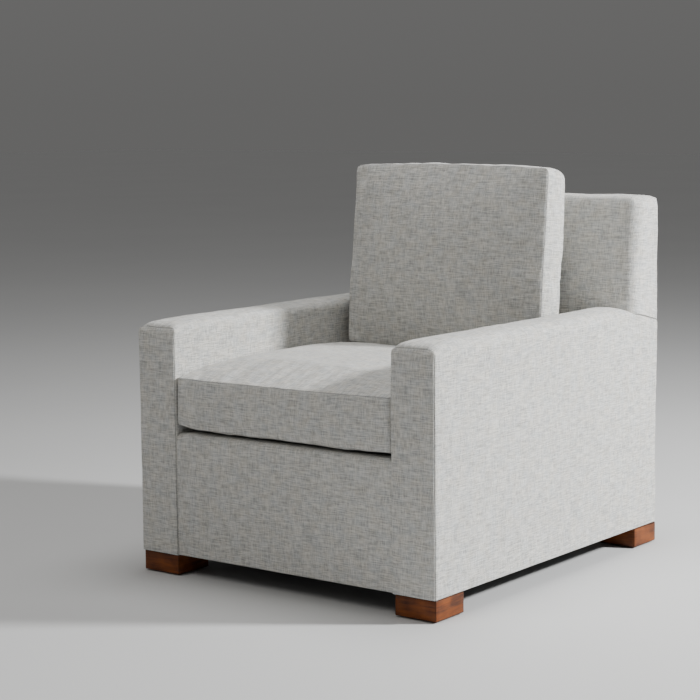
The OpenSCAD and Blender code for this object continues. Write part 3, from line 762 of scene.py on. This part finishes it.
def insideBackUpholstery():
    shape = wingShape
    top, half, depth = backHigh.z - backShape["setIn"], chairHalf, shape["depth"]
    low = armTop - backShape["seamStart"]
    inner = wellHalf + bandShape["overlap"]
    across = stops(-half, half, shape["step"], shape["upright"], shape["upright"])
    for side in (-1, 1):
        nearest = min(range(len(across)), key=lambda index: abs(across[index] - side * inner))
        across[nearest] = side * inner
    mesh = latticeBox(across, stops(0.0, depth, shape["step"], shape["upright"], shape["rearSide"]),
                      stops(low, top, shape["step"], 0.004, shape["topSide"]))
    layer = mesh.loops.layers.uv.verify()

    def unrolled(way, x, y, z):
        if way == 0:
            return math.copysign(half + y, x), z
        if way == 2:
            return x, z + y
        return None

    layCloth(mesh, unrolled)
    for side in (-1, 1):
        roundEdge(mesh, 0, 2, (side * half, side), (top, 1), shape["topSide"])
        roundEdge(mesh, 0, 1, (side * half, side), (0.0, -1),
                  lambda co: shape["upright"] * (0.75 + 0.25 * ramp(co.z, low, top)))
        roundEdge(mesh, 0, 1, (side * half, side), (depth, 1), shape["rearSide"])
        roundEdge(mesh, 0, 2, (side * half, side), (low, -1), shape["hemEdge"])
    roundEdge(mesh, 1, 2, (0.0, -1), (top, 1), shape["topFront"])
    roundEdge(mesh, 1, 2, (depth, 1), (top, 1), shape["topRear"])
    # the part behind the loose cushion runs down to the deck
    for step in range(round((low - deckTop) / shape["inner"])):
        mesh.normal_update()
        lowest = min(vert.co.z for vert in mesh.verts)
        under = [face for face in mesh.faces if face.normal.z < -0.9
                 and face.calc_center_median().z < lowest + 0.003
                 and abs(face.calc_center_median().x) < inner]
        drawn = bmesh.ops.extrude_face_region(mesh, geom=under)
        bmesh.ops.delete(mesh, geom=under, context="FACES")
        moved = [item for item in drawn["geom"] if isinstance(item, bmesh.types.BMVert)]
        bmesh.ops.translate(mesh, vec=(0, 0, -shape["inner"]), verts=moved)
    for face in mesh.faces:
        if face.calc_center_median().z < low - 0.001:
            for loop in face.loops:
                loop[layer].uv = (loop.vert.co.x, loop.vert.co.z)
    for vert in mesh.verts:
        x, y, z = vert.co
        t = min(1.0, max(0.0, (z - low) / (top - low)))
        fitted = backFace(z) + y * (rearY - backShape["setIn"] - backFace(z)) / depth
        if z < low + 0.002 and abs(x) < inner + 0.0001:
            vert.co.x = max(-inner, min(inner, x))
        if abs(x) > inner:
            fall = seamDrop(fitted) + shape["seamLap"] - backShape["seamStart"]
            vert.co.z -= fall * (1 - ramp(z, low, low + shape["seamReach"]))
        bulge = shape["crown"] * swell(t) ** 0.6 * ramp(y, 0.05, 0.0) * ramp(abs(x), half, half - 0.09)
        vert.co.y = fitted - bulge
        flare = math.copysign(shape["flare"], x)
        vert.co.x += flare * (1 - ramp(t, 0.0, 0.4)) * ramp(abs(x), half - 0.03, half)
    unsettle(mesh, shape, 31)
    # the cloth is drawn tight where the side panel meets the arm
    lower = [vert for vert in mesh.verts if abs(vert.co.x) > half - 0.004 and vert.co.z < low + 0.001]
    pucker(mesh, lower, *shape["gathers"])
    upholstered("inside_back_upholstery", mesh, "chair_frame", shape["fill"],
                "inside_back_cover", "back_padding")


rearShape = {
    "step": 0.014,
    "inset": 0.0085,  # from the chair's sides and top
    "thick": 0.014,
    "corner": 0.022,
    "edge": 0.004,
    "crown": 0.004,
    "faceDepth": 0.006,  # what counts as the rear face, before it is crowned
    "waves": (0.0024, 0.12),
    "fineWaves": (0.0008, 0.030),
    "gathers": (0.0014, 0.012, 0.016),
    "fill": 0.9,
}


def outsideBackUpholstery():
    shape = rearShape
    half, top, rear = chairHalf - shape["inset"], rearHigh.z - shape["inset"], rearY
    front = rear - shape["thick"]
    mesh = latticeBox(stops(-half, half, shape["step"], shape["corner"], shape["corner"]),
                      stops(front, rear, 0.005, 0.0, shape["edge"]),
                      stops(rearLow.z, top, shape["step"], shape["edge"], shape["corner"]))
    layCloth(mesh)
    for side in (-1, 1):
        roundEdge(mesh, 0, 2, (side * half, side), (top, 1), shape["corner"])
        roundEdge(mesh, 0, 1, (side * half, side), (rear, 1), shape["edge"])
    roundEdge(mesh, 1, 2, (rear, 1), (top, 1), shape["edge"])
    roundEdge(mesh, 1, 2, (rear, 1), (rearLow.z, -1), shape["edge"])
    for vert in mesh.verts:
        x, y, z = vert.co
        if y > rear - shape["faceDepth"]:
            up = swell((z - rearLow.z) / (top - rearLow.z))
            vert.co.y += shape["crown"] * (swell((x + half) / (2 * half)) * up) ** 0.5
    unsettle(mesh, shape, 41, rearLow.z)
    edge = [vert for vert in mesh.verts if rear - shape["faceDepth"] < vert.co.y < rear - 0.003]
    pucker(mesh, edge, *shape["gathers"])
    upholstered("outside_back_upholstery", mesh, "chair_frame", shape["fill"],
                "outside_back_cover", "outside_back_wadding", "back_panel")


insideBackUpholstery()
outsideBackUpholstery()
print("back covered")


# loose cushions: boxed covers whose seams are held while the filling swells them

coverCloth = {"quality": 5, "mass": 0.35, "stretch": 22.0, "shear": 8.0, "bend": 0.6, "shrink": -0.008}

seatPad = {
    "step": 0.0075,
    "front": -0.4645,
    "rear": 0.300,
    "bottomSeam": 0.3425,
    "topSeam": (0.4535, 0.4585),  # at the left and right ends of the front
    "corner": 0.007,
    "sideArch": 0.026,
    "crown": 0.005,
    "frontFall": 0.17,  # the top panel rolls down to the front seam over this part of its depth
    "frontCrown": 0.007,
    "belly": 0.014,
    "curl": 0.006,  # of the lower front corner, upwards
    "rightShare": 0.1,  # of the curl, at the right end
    "rearCorner": 0.02,
    "waver": 0.0018,
    "clearance": 0.0010,  # on each side, before it swells
    "armGap": 0.0008,
    "lipGap": 0.0035,
    "backGap": 0.004,
    # the top, where the back cushion stands on it
    "underBack": {"from": 0.11, "to": 0.135, "highest": 0.4790, "fall": 0.0065},
    "pressure": 2.2,
    "cap": 0.010,
    "frames": 16,
    "groove": (0.0013, 0.0014),
    "waves": (0.0026, 0.11),
    "fineWaves": (0.0008, 0.035),
    "gathers": (0.0014, 0.014, 0.018),
    "fill": 0.75,
}

backPad = {
    "step": 0.0075,
    "foot": (0.0, 0.137, 0.4745),  # middle of the lower front seam
    "half": 0.276,
    "height": 0.433,
    "boxing": 0.118,
    "rearRound": 0.075,
    "rearInset": 0.045,
    "frontCrown": 0.018,
    "rearCrown": 0.024,
    "bulge": 0.004,
    "topCrown": 0.008,
    "sideWaver": 0.0016,
    "topWaver": 0.0018,
    "footGap": 0.0008,
    "corner": 0.013,
    "reach": ((-0.293, 0.293), (-0.044, 0.1570)),  # the swollen cushion stays within it, across and in depth
    "pressure": 4.0,
    "cap": 0.022,
    "frames": 18,
    "groove": (0.0013, 0.0014),
    "waves": (0.0026, 0.10),
    "fineWaves": (0.0009, 0.035),
    "gathers": (0.0020, 0.015, 0.018),
    "fill": 0.8,
}


def swellCushion(mesh, name, settings):
    # the filling presses the cover out between its held seams, then the result is kept
    piece = finishPiece(name, mesh, upholstery)
    start = [vert.co.copy() for vert in piece.data.vertices]
    held = sorted({index for edge in piece.data.edges if edge.use_seam for index in edge.vertices})
    group = piece.vertex_groups.new(name="held")
    group.add(held, 1.0, "REPLACE")
    cloth = piece.modifiers.new("cloth", "CLOTH")
    cloth.settings.quality = coverCloth["quality"]
    cloth.settings.mass = coverCloth["mass"]
    cloth.settings.tension_stiffness = coverCloth["stretch"]
    cloth.settings.compression_stiffness = coverCloth["stretch"]
    cloth.settings.shear_stiffness = coverCloth["shear"]
    cloth.settings.bending_stiffness = coverCloth["bend"]
    cloth.settings.use_pressure = True
    cloth.settings.uniform_pressure_force = settings["pressure"]
    cloth.settings.shrink_min = coverCloth["shrink"]
    cloth.settings.vertex_group_mass = "held"
    cloth.settings.effector_weights.gravity = 0.0
    cloth.point_cache.frame_start = 1
    cloth.point_cache.frame_end = settings["frames"]
    for frameNumber in range(1, settings["frames"] + 1):
        scene.frame_set(frameNumber)
    graph = bpy.context.evaluated_depsgraph_get()
    swollen = bpy.data.meshes.new_from_object(piece.evaluated_get(graph))
    scene.frame_set(1)
    moved = 0.0
    for vert, place in zip(swollen.vertices, start):
        move = vert.co - place
        moved = max(moved, move.length)
        if move.length > settings["cap"]:
            vert.co = place + move * (settings["cap"] / move.length)
    print(name, "swelled by up to", round(moved * 1000, 1), "mm")
    mesh = bmesh.new()
    mesh.from_mesh(swollen)
    bpy.data.objects.remove(piece)
    return mesh


placket = {
    "near": 0.0015,  # from the zip's tape to the flat recess's edge
    "far": 0.0035,  # and to the end of its slope
    "depth": 0.025,
    "slack": 0.0001,
    "behind": 0.0004,  # the recess lies this far behind the tape
}


def cutZipPlacket(mesh, zipBox, normalAxis, side, surface):
    # a flat recess round the zip, so that its tape and teeth show
    near, far, depth = placket["near"], placket["far"], placket["depth"]
    edge = near + placket["slack"]
    low, high = zipBox
    spans = [axis for axis in range(3) if axis != normalAxis]
    for axis in spans:
        for place in (low[axis] - far, low[axis] - near, high[axis] + near, high[axis] + far):
            point, normal = Vector(), Vector()
            point[axis] = place
            normal[axis] = 1.0
            outer = [face for face in mesh.faces
                     if (face.calc_center_median()[normalAxis] - surface) * side > -depth]
            geometry = {item for face in outer for item in (face, *face.edges, *face.verts)}
            bmesh.ops.bisect_plane(mesh, geom=list(geometry), dist=1e-6, plane_co=point, plane_no=normal)
    for vert in mesh.verts:
        inside = [low[axis] - edge < vert.co[axis] < high[axis] + edge for axis in spans]
        if all(inside) and (vert.co[normalAxis] - surface) * side > -depth:
            vert.co[normalAxis] = surface


def seatCushion():
    shape = seatPad
    half = wellHalf - shape["clearance"]
    low, high = shape["bottomSeam"], shape["topSeam"][0]
    front, rear = shape["front"], shape["rear"]
    mesh = latticeBox(stops(-half, half, shape["step"]), stops(front, rear, shape["step"]),
                      stops(low, high, shape["step"]))
    markSeams(mesh, lambda a, b: (min(a.z, b.z) > high - tiny or max(a.z, b.z) < low + tiny) and
              (min(abs(a.x), abs(b.x)) > half - tiny or max(a.y, b.y) < front + tiny
               or min(a.y, b.y) > rear - tiny))
    layCloth(mesh)
    for side in (-1, 1):
        roundEdge(mesh, 0, 1, (side * half, side), (front, -1), shape["corner"])
        roundEdge(mesh, 0, 1, (side * half, side), (rear, 1), shape["rearCorner"])
    for vert in mesh.verts:
        x, y, z = vert.co
        t = (y - front) / (rear - front)
        up = (z - low) / (high - low)
        across = max(0.0, 1 - (x / half) ** 2)
        rise = 1 - (1 - min(1.0, t / 0.4)) ** 2
        roll = 1 - (1 - min(1.0, t / shape["frontFall"])) ** 2
        steepness = across ** 0.6
        arch = shape["sideArch"] * (rise * (1 - steepness) + roll * steepness)
        side = arch * (1 - 0.5 * ramp(t, 0.5, 0.85)) * (1 - 0.35 * ramp(t, 0.85, 1.0))
        tilt = (shape["topSeam"][1] - high) * (x / half + 1) / 2 * (1 - ramp(y, front, front + 0.2))
        crown = shape["crown"] * steepness * roll * (1 - ramp(y, 0.03, 0.15))
        waver = shape["waver"] * noise.noise(Vector((x * 8, y * 8, 3.0)))
        vert.co.z += ramp(up, 0.1, 1.0) * (side + tilt + crown + waver)
        share = 1.0 if x < 0 else shape["rightShare"]
        curl = shape["curl"] * ramp(abs(x), half - 0.07, half) * (1 - ramp(y, front, front + 0.16)) * share
        belly = shape["belly"] * across ** 0.5 * ramp(t, 0.0, 0.2) * (1 - 0.4 * ramp(t, 0.8, 1.0))
        vert.co.z += (1 - ramp(up, 0.0, 0.85)) * (curl - belly)
        if y < front + 0.03:
            vert.co.y -= shape["frontCrown"] * across ** 0.5 * swell(0.15 + 0.75 * up)
    mesh = swellCushion(mesh, "swelling_seat", shape)
    sewn = grooveSeams(mesh, *shape["groove"])
    unsettle(mesh, shape, 51)
    pucker(mesh, sewn, *shape["gathers"])
    # it stays clear of the arms, the lip of the deck, the back and the cushion on top
    limit = wellHalf - shape["armGap"]
    lowest = deckTop + bandShape["rise"] + shape["lipGap"]
    under = shape["underBack"]
    for vert in mesh.verts:
        vert.co.x = max(-limit, min(limit, vert.co.x))
        vert.co.z = max(lowest, vert.co.z)
        vert.co.y = min(vert.co.y, backFace(vert.co.z) - shape["backGap"])
        if vert.co.y > under["from"]:
            fall = under["fall"] * ramp(vert.co.y, under["from"], under["to"])
            vert.co.z = min(vert.co.z, under["highest"] - fall)
    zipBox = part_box("seat_cushion_zip")
    cutZipPlacket(mesh, zipBox, 1, 1, zipBox[0].y - placket["behind"])
    print("seat crown at", round(max(vert.co.z for vert in mesh.verts), 4))
    upholstered("seat_cushion_upholstery", mesh, "seat_cushion", shape["fill"],
                "seat_cushion_cover", "seat_cushion_wrap")


def backCushion():
    shape = backPad
    half, height, boxing = shape["half"], shape["height"], shape["boxing"]
    mesh = latticeBox(stops(-half, half, shape["step"]), stops(0.0, boxing, shape["step"]),
                      stops(0.0, height, shape["step"]))
    markSeams(mesh, lambda a, b: (max(a.y, b.y) < tiny or min(a.y, b.y) > boxing - tiny) and
              (min(abs(a.x), abs(b.x)) > half - tiny or max(a.z, b.z) < tiny
               or min(a.z, b.z) > height - tiny))
    layCloth(mesh)
    for side in (-1, 1):
        roundEdge(mesh, 0, 2, (side * half, side), (height, 1), shape["corner"])
        roundEdge(mesh, 0, 2, (side * half, side), (0.0, -1), shape["corner"])
    for vert in mesh.verts:
        x, y, z = vert.co
        u, w, deep = x / half, 2 * z / height - 1, y / boxing
        # towards the rear the boxing turns in along a quarter of an ellipse
        turned = max(0.0, (y - (boxing - shape["rearRound"])) / shape["rearRound"])
        inset = shape["rearInset"] * (1 - math.sqrt(max(0.0, 1 - turned ** 2)))
        spread = swell(z / height) * swell(0.5 * min(1.0, deep * 1.4))
        vert.co.x += x / half * (shape["bulge"] * abs(u) ** 3 * spread - inset * abs(u) ** 2)
        vert.co.z -= inset * max(0.0, w) ** 3 * 1.1
        crown = shape["topCrown"] * ramp(w, 0.8, 1.0)
        vert.co.z += crown * (0.35 + 0.65 * swell(0.5 + u / 2)) * (1 - turned ** 2)
        vert.co.x += shape["sideWaver"] * noise.noise(Vector((2.0, z * 11, x * 2))) * abs(u) ** 4
        vert.co.z += shape["topWaver"] * noise.noise(Vector((x * 10, 5.0, 1.0))) * ramp(w, 0.5, 1.0)
        puff = (max(0.0, 1 - u * u) * max(0.0, 1 - w * w)) ** 0.45
        if deep < 0.5:
            vert.co.y -= shape["frontCrown"] * puff * (1 - 2 * deep)
        else:
            vert.co.y += shape["rearCrown"] * puff * (2 * deep - 1)
    mesh = swellCushion(mesh, "swelling_back", shape)
    sewn = grooveSeams(mesh, *shape["groove"])
    unsettle(mesh, shape, 61)
    pucker(mesh, sewn, *shape["gathers"])
    lean = Matrix.Rotation(math.radians(-backShape["lean"]), 4, "X")
    place = Matrix.Translation(shape["foot"]) @ lean
    for vert in mesh.verts:
        vert.co.z = max(shape["footGap"], vert.co.z)
        for axis, (least, most) in enumerate(shape["reach"]):
            vert.co[axis] = max(least, min(most, vert.co[axis]))
    flat = [place.inverted() @ vert.co for vert in nodes["back_cushion_zip"].data.vertices]
    zipBox = [Vector([pick(point[axis] for point in flat) for axis in range(3)]) for pick in (min, max)]
    cutZipPlacket(mesh, zipBox, 2, -1, zipBox[1].z + placket["behind"])
    bmesh.ops.transform(mesh, matrix=place, verts=mesh.verts[:])
    print("back cushion top at", round(max(vert.co.z for vert in mesh.verts), 4))
    upholstered("back_cushion_upholstery", mesh, "back_cushion", shape["fill"],
                "back_cushion_cover", "back_cushion_wrap", "back_cushion_core")


seatCushion()
backCushion()
print("cushions stuffed")


# feet

footShape = {"edge": 0.0022, "segments": 3, "step": 0.012}


def sliceAlong(mesh, axis, step):
    low = min(vert.co[axis] for vert in mesh.verts)
    high = max(vert.co[axis] for vert in mesh.verts)
    count = round((high - low) / step)
    for index in range(1, count):
        point, normal = Vector(), Vector()
        point[axis] = low + (high - low) * index / count
        normal[axis] = 1.0
        geometry = mesh.verts[:] + mesh.edges[:] + mesh.faces[:]
        bmesh.ops.bisect_plane(mesh, geom=geometry, dist=1e-6, plane_co=point, plane_no=normal)


def woodenFoot(nodeName):
    low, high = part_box(nodeName)
    mesh = bmesh.new()
    bmesh.ops.create_cube(mesh, size=1.0)
    for vert in mesh.verts:
        vert.co = Vector([low[i] + (vert.co[i] + 0.5) * (high[i] - low[i]) for i in range(3)])
    bmesh.ops.bevel(mesh, geom=mesh.edges[:], offset=footShape["edge"], segments=footShape["segments"],
                    profile=0.5, material=-1, affect="EDGES")
    layer = mesh.verts.layers.float.new("edge")
    for vert in mesh.verts:
        inset = sorted(min(vert.co[i] - low[i], high[i] - vert.co[i]) for i in range(3))
        vert[layer] = 1.0 if 1e-5 < inset[1] < footShape["edge"] * 0.9 else 0.0
    for axis in range(3):
        sliceAlong(mesh, axis, footShape["step"])
    piece = finishPiece(nodeName + "_block", mesh, footTimber, "chair_frame")
    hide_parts(nodeName)


for name in ("front_left_foot", "front_right_foot", "rear_left_foot", "rear_right_foot"):
    woodenFoot(name)
print("feet made")


# floor

floorMesh = bmesh.new()
bmesh.ops.create_grid(floorMesh, x_segments=1, y_segments=1, size=30.0)
floor = finishPiece("floor", floorMesh, palePaintwork, smooth=False)
print("floor laid")
